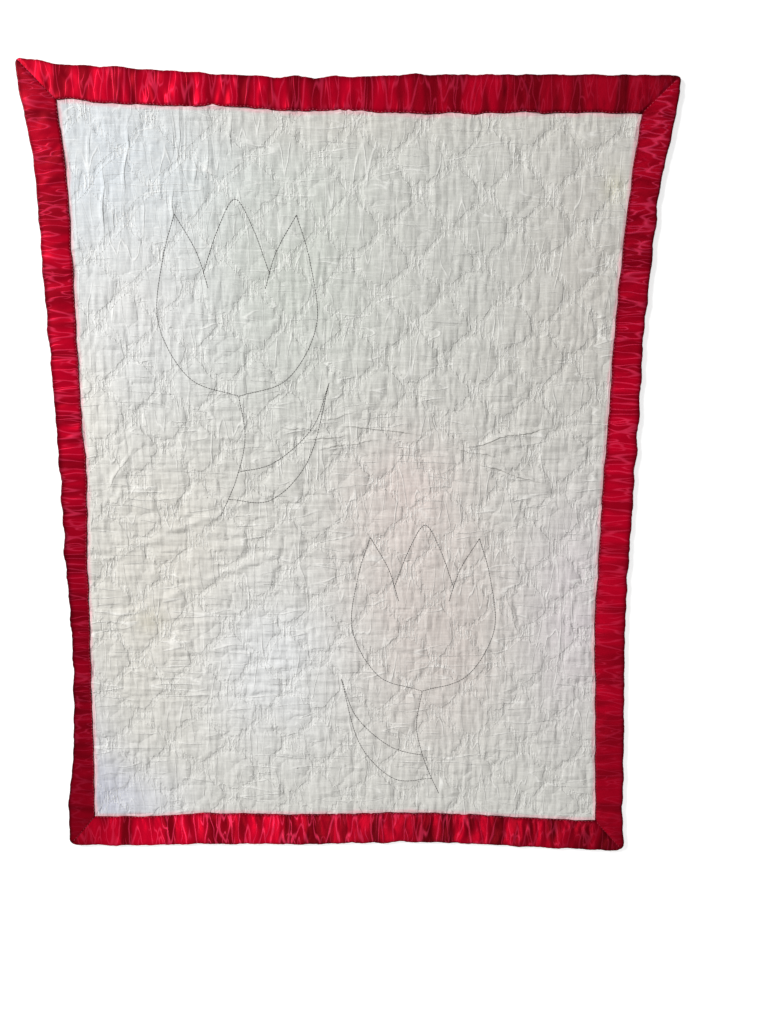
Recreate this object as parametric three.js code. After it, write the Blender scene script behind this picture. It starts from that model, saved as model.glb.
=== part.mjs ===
import * as THREE from 'three';

// A crib quilt, lying flat on Z = 0 with its plain back upwards and its top edge at +Y.
// A quilted cotton panel is held in four strips of satin binding, folded over its edges and mitred
// at the corners. Sizes are in millimetres.

// Each corner: the outer corner before it is rounded, the corner of the seam lines, and the radius.
const CORNERS = {
  topLeft: { edge: [-473.2, 607], seam: [-417.5, 551], round: 9 },
  topRight: { edge: [473, 592.5], seam: [420, 541], round: 8 },
  bottomRight: { edge: [458.5, -606.05], seam: [409.5, -551.5], round: 12 },
  bottomLeft: { edge: [-459, -603.5], seam: [-415.5, -552], round: 10 },
};

// How far each outer edge and its seam draw in from a straight line between the corners, at these
// shares of the side's length. The sides run anticlockwise.
const SHARES = [0, 0.03, 0.06, 0.12, 0.2, 0.3, 0.4, 0.5, 0.6, 0.7, 0.8, 0.88, 0.94, 0.97, 1];
const SIDES = {
  bottom: {
    from: 'bottomLeft', to: 'bottomRight', inward: [0, 1],
    edge: [0, 0, 0, 0.5, 3, 5, 5.5, 8, 11.5, 11, 7, 4, 2.5, 1, 0],
    seam: [0, 0, 0.5, 1.5, 6.5, 7.5, 6.5, 8.5, 11, 10.5, 7, 3.5, 1.5, 0.5, 0],
  },
  right: {
    from: 'bottomRight', to: 'topRight', inward: [-1, 0],
    edge: [0, 3, 6, 9.5, 15, 22.5, 25, 25.5, 25.5, 27, 22.5, 18, 7, 2, 0],
    seam: [0, 2, 4, 8.5, 13.5, 21.5, 22, 22.5, 20.5, 20, 16.5, 12, 7, 4, 0],
  },
  top: {
    from: 'topRight', to: 'topLeft', inward: [0, -1],
    edge: [0, 0.5, 1, 2, 4, 6, 8.5, 13.5, 16, 14.5, 11, 8, 7, 3, 0],
    seam: [0, 0, 0.5, 1.5, 2.5, 5.5, 7, 5, 7.5, 3.5, 4, 3.5, 1, -1.5, 0],
  },
  left: {
    from: 'topLeft', to: 'bottomLeft', inward: [1, 0],
    edge: [0, 2.5, 8, 17, 18.5, 20.5, 23, 24.5, 23.5, 26, 21.5, 14, 3, 1, 0],
    seam: [0, 3, 7, 10, 11, 11.5, 12.5, 15.5, 10, 8.5, 5.5, 4, 2, 1, 0],
  },
};

// The diamond quilting: mesh steps in one diamond, diamonds across and down, and the lattice's
// start, counted in steps from the lower left corner of the seam lines.
const STEPS = 6;
const COLUMNS = 8.5 * STEPS;
const ROWS = 11.5 * STEPS;
const LATTICE_START = 4;

// Heights in the panel: along the stitching, at the middle of a diamond, and how much the diamonds
// differ in fullness.
const STITCH_HEIGHT = 3.4;
const CROWN_HEIGHT = 6.4;
const FULLNESS_SPREAD = 0.35;

// Main creases of the panel, each a soft ridge between two points.
const CREASES = [
  { from: [172, 61], to: [42, 123], height: 2.6, reach: 15 },
  { from: [165, 63], to: [-27, 76], height: 3, reach: 14 },
  { from: [142, 46], to: [-172, 36], height: 2.6, reach: 17 },
  { from: [180, 57], to: [302, 72], height: 2.8, reach: 14 },
  { from: [188, 38], to: [370, 26], height: 2.4, reach: 14 },
  { from: [-398, -73], to: [-341, 40], height: 3, reach: 15 },
  { from: [-386, -121], to: [-73, 8], height: 2.4, reach: 18 },
  { from: [-375, -218], to: [-89, -94], height: 2.4, reach: 18 },
  { from: [-228, -333], to: [21, -330], height: 1.8, reach: 16 },
  { from: [-335, 512], to: [-342, 360], height: 2, reach: 14 },
  { from: [-240, 539], to: [-247, 332], height: 1.8, reach: 14 },
  { from: [275, -245], to: [249, -163], height: 2.2, reach: 14 },
];

// The panel's pressed edge, which runs inside the binding's fold, and the slope below it.
const PRESSED_LOW = 1.3;
const PRESSED_HIGH = 3.7;
const PRESSED_INSET = 3;
const SLOPE_START = 2;
const SLOPE_END = 14;

// A large triangle in the middle of the flat underside, for the face that the quilt rests on.
const REST_TRIANGLE = [[-300, -380], [300, -380], [0, 420]];

// The binding's fold: thickness of the satin, height where its upper layer lies, height of the
// outermost line of the fold, and how far in the curve of the fold reaches.
const SATIN = 1;
const UPPER_LAYER = 4;
const FOLD_HEIGHT = 2.5;
const FOLD_REACH = 2.2;
const MITRE_GAP = 0.25;
const SEAM_GAP = 0.3;

// The binding's gathers: the rise of the strip's middle, the height of a full gather, the spacing of
// crests and hollows, how far a crest leans along the strip, and how much they differ.
const MIDDLE_RISE = 1.1;
const GATHER_HEIGHT = 2.1;
const GATHER_STEP = 14.5;
const GATHER_LEAN = 4;
const STEP_SPREAD = 0.5;
const LEAST_CREST = 0.35;
const MOST_HOLLOW = 0.15;

const COTTON = { color: 0xd6d6cf, roughness: 0.92, metalness: 0 };
const RED_SATIN = { color: 0xb20a2c, roughness: 0.36, metalness: 0 };

// A repeatable uneven share from 0 to 1 for a whole number.
function uneven(number) {
  const value = Math.sin(number * 12.9898 + 4.1) * 43758.5453;
  return value - Math.floor(value);
}

// The draw-in of a rounded corner, at a distance from the corner along the side.
function cornerDraw(distance, radius) {
  if (distance >= radius) return 0;
  return radius - Math.sqrt(radius ** 2 - (radius - distance) ** 2);
}

// A side's outer edge or seam line, as a function of the share of its length.
function sideLine(name, line) {
  const side = SIDES[name];
  const start = CORNERS[side.from];
  const end = CORNERS[side.to];
  const a = new THREE.Vector2(...start[line]);
  const b = new THREE.Vector2(...end[line]);
  const inward = new THREE.Vector2(...side.inward);
  const length = a.distanceTo(b);
  const drawIn = new THREE.CubicInterpolant(SHARES, side[line], 1);
  const roundStart = line === 'edge' ? start.round : 0;
  const roundEnd = line === 'edge' ? end.round : 0;
  const first = roundStart * (1 - Math.SQRT1_2) / length;
  const last = 1 - roundEnd * (1 - Math.SQRT1_2) / length;
  return (share) => {
    const place = first + (last - first) * share;
    const draw = drawIn.evaluate(place)[0]
      + cornerDraw(place * length, roundStart)
      + cornerDraw((1 - place) * length, roundEnd);
    return a.clone().lerp(b, place).addScaledVector(inward, draw);
  };
}

const LINES = {};
for (const name of Object.keys(SIDES)) {
  LINES[name] = { edge: sideLine(name, 'edge'), seam: sideLine(name, 'seam') };
}

// A point of the panel inside the seam lines, from its shares across and up.
function panelPoint(across, up) {
  const corner = (name) => new THREE.Vector2(...CORNERS[name].seam);
  const low = corner('bottomLeft').lerp(corner('bottomRight'), across);
  const high = corner('topLeft').lerp(corner('topRight'), across);
  const betweenCorners = low.lerp(high, up);
  const sideways = LINES.left.seam(1 - up).lerp(LINES.right.seam(up), across);
  const upwards = LINES.bottom.seam(across).lerp(LINES.top.seam(1 - across), up);
  return sideways.add(upwards).sub(betweenCorners);
}

// The outer edge beside a point on the border of the panel's grid.
function edgePoint(column, row) {
  if (row === 0) return LINES.bottom.edge(column / COLUMNS);
  if (row === ROWS) return LINES.top.edge(1 - column / COLUMNS);
  if (column === 0) return LINES.left.edge(1 - row / ROWS);
  return LINES.right.edge(row / ROWS);
}

// Steps from a grid point to the nearest line of stitching in one direction of the lattice.
function stepsToStitching(count) {
  const rest = THREE.MathUtils.euclideanModulo(count, STEPS);
  return Math.min(rest, STEPS - rest);
}

// The fullness of the diamond that holds a grid point.
function diamondFullness(column, row) {
  const rising = Math.floor((column + row - LATTICE_START) / STEPS);
  const falling = Math.floor((column - row) / STEPS);
  return 1 - FULLNESS_SPREAD * uneven(rising * 31 + falling * 17);
}

// The height that the main creases add at a point.
function creaseHeight(point) {
  let height = 0;
  for (const crease of CREASES) {
    const start = new THREE.Vector2(...crease.from);
    const along = new THREE.Vector2(...crease.to).sub(start);
    const offset = point.clone().sub(start);
    const share = THREE.MathUtils.clamp(offset.dot(along) / along.lengthSq(), 0, 1);
    const distance = offset.addScaledVector(along, -share).length();
    const fade = Math.max(0, 1 - (distance / crease.reach) ** 2);
    height = Math.max(height, crease.height * fade ** 2);
  }
  return height;
}

// The height of the panel's upper face at a grid point.
function panelHeight(column, row, point) {
  const onBorder = column === 0 || row === 0 || column === COLUMNS || row === ROWS;
  if (onBorder) return PRESSED_HIGH;
  const steps = Math.min(stepsToStitching(column + row - LATTICE_START), stepsToStitching(column - row));
  const swell = Math.sin(Math.PI * steps / STEPS) ** 0.8;
  const crown = (CROWN_HEIGHT - STITCH_HEIGHT) * swell * diamondFullness(column, row);
  return STITCH_HEIGHT + crown + creaseHeight(point);
}

// Collects points and triangles for one closed solid.
class Solid {
  constructor() {
    this.points = [];
    this.triangles = [];
  }

  point(plan, height) {
    this.points.push(plan.x, plan.y, height);
    return this.points.length / 3 - 1;
  }

  triangle(a, b, c) {
    this.triangles.push(a, b, c);
  }

  // A band of triangles between two closed loops of as many points.
  band(lower, upper) {
    const count = lower.length;
    for (let k = 0; k < count; k += 1) {
      const next = (k + 1) % count;
      this.triangle(lower[k], lower[next], upper[next]);
      this.triangle(lower[k], upper[next], upper[k]);
    }
  }

  mesh(name, finish) {
    const geometry = new THREE.BufferGeometry();
    geometry.setAttribute('position', new THREE.Float32BufferAttribute(this.points, 3));
    geometry.setIndex(this.triangles);
    geometry.computeVertexNormals();
    const mesh = new THREE.Mesh(geometry, new THREE.MeshStandardMaterial(finish));
    mesh.name = name;
    return mesh;
  }
}

// The grid's border points in order, anticlockwise from the lower left corner.
function borderPlaces() {
  const places = [];
  for (let column = 0; column < COLUMNS; column += 1) {
    places.push([column, 0]);
  }
  for (let row = 0; row < ROWS; row += 1) {
    places.push([COLUMNS, row]);
  }
  for (let column = COLUMNS; column > 0; column -= 1) {
    places.push([column, ROWS]);
  }
  for (let row = ROWS; row > 0; row -= 1) {
    places.push([0, row]);
  }
  return places;
}

// The panel: a quilted upper face, a pressed edge inside the binding and a flat underside.
function buildPanel() {
  const solid = new Solid();
  const grid = [];
  for (let column = 0; column <= COLUMNS; column += 1) {
    grid.push([]);
    for (let row = 0; row <= ROWS; row += 1) {
      const point = panelPoint(column / COLUMNS, row / ROWS);
      grid[column].push(solid.point(point, panelHeight(column, row, point)));
    }
  }

  // Each square of the grid is split along the stitching that crosses it.
  for (let column = 0; column < COLUMNS; column += 1) {
    for (let row = 0; row < ROWS; row += 1) {
      const a = grid[column][row];
      const b = grid[column + 1][row];
      const c = grid[column + 1][row + 1];
      const d = grid[column][row + 1];
      const rising = stepsToStitching(column - row);
      const falling = stepsToStitching(column + row + 1 - LATTICE_START);
      if (rising < falling) {
        solid.triangle(a, b, c);
        solid.triangle(a, c, d);
      } else {
        solid.triangle(a, b, d);
        solid.triangle(b, c, d);
      }
    }
  }

  const places = borderPlaces();
  const width = CORNERS.topRight.seam[0] - CORNERS.topLeft.seam[0];
  const length = CORNERS.topLeft.seam[1] - CORNERS.bottomLeft.seam[1];
  const insideSeam = ([column, row], inset) => panelPoint(
    THREE.MathUtils.clamp(column / COLUMNS, inset / width, 1 - inset / width),
    THREE.MathUtils.clamp(row / ROWS, inset / length, 1 - inset / length),
  );
  const pressed = places.map(([column, row]) => {
    const edge = edgePoint(column, row);
    const seam = panelPoint(column / COLUMNS, row / ROWS);
    return edge.clone().lerp(seam, PRESSED_INSET / edge.distanceTo(seam));
  });
  const restLoop = places.map((place) => insideSeam(place, SLOPE_END));

  const seamTop = places.map(([column, row]) => grid[column][row]);
  const pressedTop = pressed.map((point) => solid.point(point, PRESSED_HIGH));
  const pressedBottom = pressed.map((point) => solid.point(point, PRESSED_LOW));
  const slopeTop = places.map((place) => solid.point(insideSeam(place, SLOPE_START), PRESSED_LOW));
  const rest = restLoop.map((point) => solid.point(point, 0));
  solid.band(pressedTop, seamTop);
  solid.band(pressedBottom, pressedTop);
  solid.band(slopeTop, pressedBottom);
  solid.band(rest, slopeTop);

  // The flat underside is the rest loop filled around one large middle triangle.
  const middle = REST_TRIANGLE.map(([x, y]) => new THREE.Vector2(x, y));
  const middlePoints = middle.map((point) => solid.point(point, 0));
  const indices = [...rest, ...middlePoints];
  for (const [a, b, c] of THREE.ShapeUtils.triangulateShape(restLoop, [middle])) {
    solid.triangle(indices[a], indices[c], indices[b]);
  }
  solid.triangle(middlePoints[0], middlePoints[2], middlePoints[1]);
  return solid.mesh('panel', COTTON);
}

// One section of a folded strip, as distances from the outer edge and heights. It starts at the
// seam on top, goes round the fold to the underside, and comes back inside the satin.
function bindingSection(width, gather) {
  const seam = width - SEAM_GAP;
  const top = UPPER_LAYER + SATIN;
  return [
    { inset: seam, height: top, lean: 0 },
    { inset: 0.7 * width, height: top + MIDDLE_RISE + 0.8 * gather, lean: -1 },
    { inset: 0.34 * width, height: top + MIDDLE_RISE + gather, lean: 1 },
    { inset: FOLD_REACH, height: top + 0.3 * gather, lean: 0 },
    { inset: 0, height: FOLD_HEIGHT, lean: 0 },
    { inset: FOLD_REACH, height: 0, lean: 0 },
    { inset: seam, height: 0, lean: 0 },
    { inset: seam, height: SATIN, lean: 0 },
    { inset: FOLD_REACH, height: SATIN, lean: 0 },
    { inset: SATIN, height: FOLD_HEIGHT, lean: 0 },
    { inset: FOLD_REACH, height: UPPER_LAYER, lean: 0 },
    { inset: seam, height: UPPER_LAYER, lean: 0 },
  ];
}

// A strip of binding along one side, its sections set on the crests and hollows of its gathers.
function buildBinding(name, seed) {
  const { edge, seam } = LINES[name];
  const solid = new Solid();
  const length = edge(0).distanceTo(edge(1));
  const count = 2 * Math.round(length / GATHER_STEP / 2);
  const trim = MITRE_GAP / length;
  const loops = [];
  for (let k = 0; k <= count; k += 1) {
    const inner = k > 0 && k < count;
    const shift = inner ? STEP_SPREAD * (uneven(seed + 2 * k) - 0.5) : 0;
    const share = THREE.MathUtils.clamp((k + shift) / count, trim, 1 - trim);
    const crest = LEAST_CREST + (1 - LEAST_CREST) * uneven(seed + k);
    const hollow = MOST_HOLLOW * uneven(seed + k);
    const rise = k % 2 === 1 ? crest : hollow;
    const lean = inner ? GATHER_LEAN / length * (2 * uneven(seed + 3 * k) - 1) : 0;
    const width = edge(share).distanceTo(seam(share));
    const section = bindingSection(width, inner ? GATHER_HEIGHT * rise : 0);
    loops.push(section.map((corner) => {
      const place = share + lean * corner.lean;
      const plan = edge(place).lerp(seam(place), corner.inset / width);
      return solid.point(plan, corner.height);
    }));
  }
  for (let k = 0; k < count; k += 1) {
    solid.band(loops[k], loops[k + 1]);
  }

  // Both mitred ends are closed by filling the section.
  const width = edge(0).distanceTo(seam(0));
  const outline = bindingSection(width, 0).map(({ inset, height }) => new THREE.Vector2(inset, height));
  for (const [a, b, c] of THREE.ShapeUtils.triangulateShape(outline, [])) {
    solid.triangle(loops[0][a], loops[0][c], loops[0][b]);
    solid.triangle(loops[count][a], loops[count][b], loops[count][c]);
  }
  return solid.mesh(`binding_${name}`, RED_SATIN);
}

const quilt = new THREE.Group();
quilt.add(buildPanel());
Object.keys(SIDES).forEach((name, index) => quilt.add(buildBinding(name, 100 * (index + 1))));

export default quilt;
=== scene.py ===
import math

import bmesh
import bpy
import numpy as np
from mathutils import Matrix, Vector


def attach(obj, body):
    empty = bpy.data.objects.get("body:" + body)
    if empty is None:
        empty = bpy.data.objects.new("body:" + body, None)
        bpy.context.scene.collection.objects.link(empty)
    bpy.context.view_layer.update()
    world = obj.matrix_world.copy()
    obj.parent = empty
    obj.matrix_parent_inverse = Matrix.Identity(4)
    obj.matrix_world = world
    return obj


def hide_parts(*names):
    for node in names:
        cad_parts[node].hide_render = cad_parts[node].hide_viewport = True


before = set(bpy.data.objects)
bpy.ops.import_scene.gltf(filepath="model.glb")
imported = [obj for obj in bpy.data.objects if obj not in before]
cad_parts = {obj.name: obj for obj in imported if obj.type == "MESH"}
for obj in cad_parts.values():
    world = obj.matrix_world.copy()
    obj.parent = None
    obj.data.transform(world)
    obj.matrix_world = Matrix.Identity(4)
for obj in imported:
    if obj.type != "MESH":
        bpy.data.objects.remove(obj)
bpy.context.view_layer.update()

scene = bpy.context.scene

# Camera: held by hand over the quilt, a little nearer to its top edge than to its
# bottom edge, and leaning back, so that both long sides draw together downwards.
MM = 0.001
IMAGE_SIZE = (769, 1022)
FOCAL_PIXELS = 770
SENSOR_HEIGHT = 36
SURFACE_HEIGHT = 4
CAMERA_PLACE = (55.1, 145.1, 1176.8)
CAMERA_TARGET = (56.9, -38.3, 0)
CAMERA_UP = (-0.0096, 1, 0)
camera = bpy.data.objects.new("camera", bpy.data.cameras.new("camera"))
scene.collection.objects.link(camera)
scene.camera = camera
camera.data.sensor_fit = "VERTICAL"
camera.data.sensor_height = SENSOR_HEIGHT
camera.data.lens = SENSOR_HEIGHT * FOCAL_PIXELS / IMAGE_SIZE[1]
raised = Vector((0, 0, SURFACE_HEIGHT))
place = (Vector(CAMERA_PLACE) + raised) * MM
backward = (place - (Vector(CAMERA_TARGET) + raised) * MM).normalized()
rightward = Vector(CAMERA_UP).cross(backward).normalized()
turn = Matrix((rightward, backward.cross(rightward), backward)).transposed()
camera.matrix_world = Matrix.LocRotScale(place, turn.to_quaternion(), None)

# Quilt top: one length of white cotton with a thin batting behind it, sewn through in
# pairs of lines that cross as diamonds. The washed cotton has drawn up into fine
# puckers along the sewing, and its raw edge lies inside the binding.
CORNERS = {
    "top_left": {"edge": (-473.2, 607), "seam": (-417.5, 551), "round": 9},
    "top_right": {"edge": (473, 592.5), "seam": (420, 541), "round": 8},
    "bottom_right": {"edge": (458.5, -606.05), "seam": (409.5, -551.5), "round": 12},
    "bottom_left": {"edge": (-459, -603.5), "seam": (-415.5, -552), "round": 10},
}
SHARES = (0, 0.03, 0.06, 0.12, 0.2, 0.3, 0.4, 0.5, 0.6, 0.7, 0.8, 0.88, 0.94, 0.97, 1)
SIDES = {
    "bottom": {
        "ends": ("bottom_left", "bottom_right"),
        "inward": (0, 1),
        "edge": (0, 0, 0, 0.5, 3, 5, 5.5, 8, 11.5, 11, 7, 4, 2.5, 1, 0),
        "seam": (0, 0, 0.5, 1.5, 6.5, 7.5, 6.5, 8.5, 11, 10.5, 7, 3.5, 1.5, 0.5, 0),
    },
    "right": {
        "ends": ("bottom_right", "top_right"),
        "inward": (-1, 0),
        "edge": (0, 3, 6, 9.5, 15, 22.5, 25, 25.5, 25.5, 27, 22.5, 18, 7, 2, 0),
        "seam": (0, 2, 4, 8.5, 13.5, 21.5, 22, 22.5, 20.5, 20, 16.5, 12, 7, 4, 0),
    },
    "top": {
        "ends": ("top_right", "top_left"),
        "inward": (0, -1),
        "edge": (0, 0.5, 1, 2, 4, 6, 8.5, 13.5, 16, 14.5, 11, 8, 7, 3, 0),
        "seam": (0, 0, 0.5, 1.5, 2.5, 5.5, 7, 5, 7.5, 3.5, 4, 3.5, 1, -1.5, 0),
    },
    "left": {
        "ends": ("top_left", "bottom_left"),
        "inward": (1, 0),
        "edge": (0, 2.5, 8, 17, 18.5, 20.5, 23, 24.5, 23.5, 26, 21.5, 14, 3, 1, 0),
        "seam": (0, 3, 7, 10, 11, 11.5, 12.5, 15.5, 10, 8.5, 5.5, 4, 2, 1, 0),
    },
}


def drawn_in(table, share):
    """How far a side is drawn in at each share of its length, as a smooth cubic."""
    at = np.array(SHARES)
    values = np.array(table, dtype=float)
    slopes = np.gradient(values, at)
    k = np.clip(np.searchsorted(at, share) - 1, 0, len(at) - 2)
    span = at[k + 1] - at[k]
    t = (share - at[k]) / span
    low = values[k] * (1 + 2 * t) * (1 - t) ** 2 + slopes[k] * span * t * (1 - t) ** 2
    high = values[k + 1] * t * t * (3 - 2 * t) - slopes[k + 1] * span * t * t * (1 - t)
    return low + high


def side_line(name, line, share):
    """Points of a side's outer edge or seam in plan, in millimetres."""
    side = SIDES[name]
    first, last = (CORNERS[end] for end in side["ends"])
    start = np.array(first[line], dtype=float)
    run = np.array(last[line]) - start
    length = np.hypot(*run)
    share = np.asarray(share, dtype=float)
    draw = drawn_in(side[line], share)
    along = share
    if line == "edge":
        cut = [end["round"] * (1 - math.sqrt(0.5)) / length for end in (first, last)]
        along = cut[0] + (1 - cut[1] - cut[0]) * share
        for radius, far in ((first["round"], along), (last["round"], 1 - along)):
            short = np.clip(radius - far * length, 0, radius)
            draw = draw + radius - np.sqrt(radius**2 - short**2)
    return start + along[..., None] * run + draw[..., None] * np.array(side["inward"])


def side_shares(across, up):
    """The four sides, each with the share of its length that lies beside a place on the cotton."""
    return (("left", 1 - up), ("right", up), ("bottom", across), ("top", 1 - across))


def panel_point(across, up):
    """The cotton's own (across, up), each 0 to 1 between the seams, as a place in plan."""
    sides = side_shares(across, up)
    left, right, bottom, top = (side_line(name, "seam", share) for name, share in sides)
    u = across[..., None]
    v = up[..., None]
    ends = {name: np.array(corner["seam"]) for name, corner in CORNERS.items()}
    low = (1 - u) * ends["bottom_left"] + u * ends["bottom_right"]
    high = (1 - u) * ends["top_left"] + u * ends["top_right"]
    return (1 - u) * left + u * right + (1 - v) * bottom + v * top - (1 - v) * low - v * high


HASH_STEPS = (127.1, 311.7, 74.7)
HASH_SPREAD = 43758.5453


def noise(x, y, seed):
    """Smooth gradient noise, about -1 to 1, with one bump to each unit square."""
    step_i, step_j, step_seed = HASH_STEPS
    i = np.floor(x)
    j = np.floor(y)
    u = x - i
    v = y - j

    def corner(di, dj):
        mixed = np.sin((i + di) * step_i + (j + dj) * step_j + seed * step_seed) * HASH_SPREAD
        angle = (mixed - np.floor(mixed)) * 2 * math.pi
        return np.cos(angle) * (u - di) + np.sin(angle) * (v - dj)

    su = u**3 * (u * (u * 6 - 15) + 10)
    sv = v**3 * (v * (v * 6 - 15) + 10)
    low = corner(0, 0) + su * (corner(1, 0) - corner(0, 0))
    high = corner(0, 1) + su * (corner(1, 1) - corner(0, 1))
    return 1.5 * (low + sv * (high - low))


def ridges(x, y, seed, sharpness=1.0):
    """Narrow crests between broad hollows, 0 to 1, along the zero lines of the noise."""
    return np.clip(1 - np.abs(noise(x, y, seed)) * 2.2, 0, 1) ** sharpness


def bell(distance):
    return np.exp(-(distance**2))


def patch(x, y, place, reach):
    """1 in the middle of an oval patch of the cotton, dying out over its reach."""
    return bell((x - place[0]) / reach[0]) * bell((y - place[1]) / reach[1])


DIAMONDS_ACROSS = 8.5
DIAMONDS_UP = 11.5
LATTICE_SHIFT = 5 / 6
DIAMOND_SIZE = 96
CHANNEL_HALF_WIDTH = 4.5
SQUARE_HALF = 15
SQUARE_FLATNESS = 1.45
PINCH_HALF = 13
STITCH_HEIGHT = 3.7
PILLOW_RISE = 1.75
# Parts of the cotton, as place and reach in plan: where the diamonds show best, where the cloth is
# pulled upright, where drag lines rise to the right, and with its share where it lies across.
CLEAR_PART = ((250, 300), (200, 250))
UPRIGHT_PART = ((-290, 430), (130, 120))
DRAG_PART = ((-230, -120), (190, 170))
DRAG_TURN = 0.3
LYING_PARTS = (
    ((-200, -60), (260, 190), 1.0),
    ((330, 20), (110, 110), 0.8),
    ((-150, -330), (300, 110), 0.6),
)
# Long creases, placed one by one: from and to in plan, rise and reach, all in millimetres, and how
# sharp the fold is. Each runs so that its left side is the higher one.
CREASES = (
    ((-8, 91), (114, 80), 1.0, 7, 1.0),
    ((-69, 69), (2, 75), 1.0, 6, 0.9),
    ((-100, 88), (-38, 84), 1.2, 7, 0.9),
    ((-43, 55), (41, 70), 1.0, 7, 0.9),
    ((-46, 99), (14, 112), 0.8, 6, 0.7),
    ((176, 60), (306, 91), 1.2, 7, 1.1),
    ((201, 35), (301, 6), 1.2, 7, 1.0),
    ((156, 60), (241, 44), 1.0, 6, 0.8),
    ((-368, -12), (-330, 52), 1.2, 8, 0.6),
    ((-386, -121), (-73, 8), 1.1, 8, 0),
    ((-375, -218), (-89, -94), 1.1, 8, 0),
    ((-228, -333), (21, -330), 0.9, 8, 0),
    ((-374, 471), (-369, 515), 0.7, 5, 0.9),
    ((-356, 372), (-355, 466), 1.1, 6, 1.2),
    ((-324, 428), (-317, 514), 0.9, 5, 1.1),
    ((-254, 387), (-253, 439), 0.8, 5, 1.0),
    ((-204, 454), (-202, 508), 0.8, 5, 0.9),
    ((-243, 451), (-242, 537), 0.7, 5, 0.8),
    ((-299, 381), (-299, 420), 0.7, 5, 0.8),
    ((-222, 437), (-219, 473), 0.7, 5, 1.0),
    ((-169, 473), (-167, 541), 0.7, 5, 0.8),
    ((275, -245), (249, -163), 1.2, 6, 0.5),
)


def waviness(a, b):
    """How far the sewing strays from an even lattice, in diamonds."""
    shift_a = 0.06 * noise(a * 0.8, b * 0.8, 1) + 0.05 * noise(a * 2.3, b * 2.3, 2)
    shift_b = 0.06 * noise(a * 0.8, b * 0.8, 3) + 0.05 * noise(a * 2.3, b * 2.3, 4)
    return shift_a, shift_b


def lattice(across, up):
    """The distance in millimetres to the nearest sewn diagonal, and the lattice place."""
    a = across * DIAMONDS_ACROSS - LATTICE_SHIFT
    b = up * DIAMONDS_UP - LATTICE_SHIFT
    shift_a, shift_b = waviness(a, b)
    a = a + shift_a
    b = b + shift_b
    rising = np.abs((a + b) - np.rint(a + b)) * DIAMOND_SIZE / math.sqrt(2)
    falling = np.abs((a - b) - np.rint(a - b)) * DIAMOND_SIZE / math.sqrt(2)
    return np.minimum(rising, falling), a, b


def crease_folds(x, y):
    """The rise of the long creases, and the place beside the nearest one with its sharpness."""
    total = np.zeros_like(x)
    beside = np.full_like(x, 100)
    keen = np.zeros_like(x)
    for k, ((x0, y0), (x1, y1), rise, reach, sharp) in enumerate(CREASES):
        run = np.array((x1 - x0, y1 - y0), dtype=float)
        length = np.hypot(*run)
        run /= length
        along = (x - x0) * run[0] + (y - y0) * run[1]
        aside = (y - y0) * run[0] - (x - x0) * run[1]
        aside = aside + 5 * noise(along / 45, aside / 80, 20 + k)
        ends = np.clip(along / 25 + 0.3, 0, 1) * np.clip((length - along) / 40 + 0.3, 0, 1)
        t = aside / reach
        total += rise * ends * (1 - 1.6 * t * t) * bell(t)
        nearer = (np.abs(aside) < np.abs(beside)) & (ends * sharp > 0)
        beside = np.where(nearer, aside, beside)
        keen = np.where(nearer, ends * sharp, keen)
    keen *= np.clip((6 - np.abs(beside)) / 2.5, 0, 1)
    return total, np.column_stack((np.clip(beside, -6, 6), keen, 0 * keen))


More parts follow.
